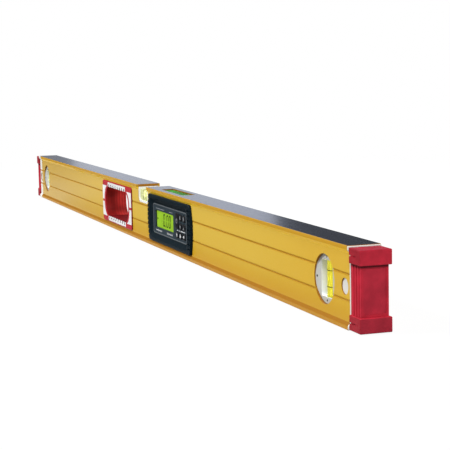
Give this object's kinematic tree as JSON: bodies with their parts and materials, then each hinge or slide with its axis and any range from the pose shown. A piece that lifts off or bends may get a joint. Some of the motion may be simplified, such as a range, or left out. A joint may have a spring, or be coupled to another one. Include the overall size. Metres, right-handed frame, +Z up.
{
  "type": "digital spirit level",
  "caption": "Long yellow box-section spirit level with a red hand grip, level and plumb vials, an electronic angle display with keypad, and red rubber end caps.",
  "frame": {"origin": "middle of the bottom measuring face", "axes": "+X along the level towards the display end, -Y towards the front with the display, +Z up"},
  "size_m": [1.2176, 0.0292, 0.064],
  "materials": {
    "yellow_coat": "yellow powder coat on aluminium, measuring faces milled bare",
    "red_rubber": "matt crimson rubber",
    "pale_plastic": "light grey moulded plastic",
    "grip_red": "red moulded plastic",
    "grip_rubber": "dark red soft grip",
    "white_plastic": "white moulded plastic",
    "vial_acrylic": "clear acrylic over yellow-green liquid",
    "ring_black": "black marking ring",
    "bubble_clear": "gas bubble",
    "housing_grey": "dark grey textured moulding",
    "panel_grey": "grey front plate",
    "key_rubber": "black silicone",
    "lens_clear": "clear display lens",
    "display_green": "back-lit green display",
    "board_green": "green circuit board",
    "bright_steel": "bright steel",
    "tray_black": "black moulded plastic",
    "cell_wrap": "plain wrapped cell"
  },
  "bodies": {
    "level_body": {"battery_cells": "cell_wrap", "battery_contacts": "bright_steel", "battery_cover": "housing_grey", "battery_tray": "tray_black", "buzzer": "tray_black", "circuit_board": "board_green", "cover_gasket": "key_rubber", "cover_screws": "bright_steel", "display": "display_green", "display_lens": "lens_clear", "end_plug_left": "pale_plastic", "end_plug_right": "pale_plastic", "grip_inlays_front": "white_plastic", "grip_inlays_rear": "white_plastic", "grip_pad_lower": "grip_rubber", "grip_pad_upper": "grip_rubber", "grip_shell_front": "grip_red", "grip_shell_rear": "grip_red", "key_domes": "key_rubber", "level_vial": "vial_acrylic", "level_vial_holder": "white_plastic", "level_vial_rings": "ring_black", "module_housing": "housing_grey", "module_panel": "panel_grey", "module_screws": "bright_steel", "plumb_vial_holder_left": "pale_plastic", "plumb_vial_holder_right": "pale_plastic", "plumb_vial_left": "vial_acrylic", "plumb_vial_right": "vial_acrylic", "plumb_vial_rings_left": "ring_black", "plumb_vial_rings_right": "ring_black", "profile": "yellow_coat", "rear_housing": "housing_grey", "slip_stopper_left": "red_rubber", "slip_stopper_right": "red_rubber", "tilt_sensor": "bright_steel", "top_display": "display_green", "top_display_carrier": "tray_black", "top_display_lens": "lens_clear"},
    "key_calibrate": {"key_calibrate": "key_rubber"},
    "key_hold": {"key_hold": "key_rubber"},
    "key_light": {"key_light": "key_rubber"},
    "key_lock": {"key_lock": "key_rubber"},
    "key_mode": {"key_mode": "key_rubber"},
    "key_power": {"key_power": "key_rubber"},
    "key_reference": {"key_reference": "key_rubber"},
    "key_sound": {"key_sound": "key_rubber"},
    "level_bubble": {"level_bubble": "bubble_clear"},
    "plumb_bubble_left": {"plumb_bubble_left": "bubble_clear"},
    "plumb_bubble_right": {"plumb_bubble_right": "bubble_clear"},
    "end_cap_left": {"end_cap_left": "red_rubber"},
    "end_cap_right": {"end_cap_right": "red_rubber"}
  },
  "joints": [
    {"name": "key_calibrate_press", "type": "slide", "parent": "level_body", "child": "key_calibrate", "axis": [0, 1, 0], "range_m": [0, 0.0008], "stiffness_N_per_m": 2500},
    {"name": "key_hold_press", "type": "slide", "parent": "level_body", "child": "key_hold", "axis": [0, 1, 0], "range_m": [0, 0.0008], "stiffness_N_per_m": 2500},
    {"name": "key_light_press", "type": "slide", "parent": "level_body", "child": "key_light", "axis": [0, 1, 0], "range_m": [0, 0.0008], "stiffness_N_per_m": 2500},
    {"name": "key_lock_press", "type": "slide", "parent": "level_body", "child": "key_lock", "axis": [0, 1, 0], "range_m": [0, 0.0008], "stiffness_N_per_m": 2500},
    {"name": "key_mode_press", "type": "slide", "parent": "level_body", "child": "key_mode", "axis": [0, 1, 0], "range_m": [0, 0.0008], "stiffness_N_per_m": 2500},
    {"name": "key_power_press", "type": "slide", "parent": "level_body", "child": "key_power", "axis": [0, 1, 0], "range_m": [0, 0.0008], "stiffness_N_per_m": 2500},
    {"name": "key_reference_press", "type": "slide", "parent": "level_body", "child": "key_reference", "axis": [0, 1, 0], "range_m": [0, 0.0008], "stiffness_N_per_m": 2500},
    {"name": "key_sound_press", "type": "slide", "parent": "level_body", "child": "key_sound", "axis": [0, 1, 0], "range_m": [0, 0.0008], "stiffness_N_per_m": 2500},
    {"name": "level_bubble_run", "type": "slide", "parent": "level_body", "child": "level_bubble", "axis": [1, 0, 0], "range_m": [-0.012, 0.012], "stiffness_N_per_m": 0.5},
    {"name": "plumb_bubble_left_run", "type": "slide", "parent": "level_body", "child": "plumb_bubble_left", "axis": [0, 0, 1], "range_m": [-0.018, 0], "stiffness_N_per_m": 0.5, "springref_m": 0.02},
    {"name": "plumb_bubble_right_run", "type": "slide", "parent": "level_body", "child": "plumb_bubble_right", "axis": [0, 0, 1], "range_m": [-0.018, 0], "stiffness_N_per_m": 0.5, "springref_m": 0.02},
    {"name": "end_cap_left_pull", "type": "slide", "parent": "level_body", "child": "end_cap_left", "axis": [-1, 0, 0], "range_m": [0, 0.03]},
    {"name": "end_cap_right_pull", "type": "slide", "parent": "level_body", "child": "end_cap_right", "axis": [1, 0, 0], "range_m": [0, 0.03]}
  ]
}
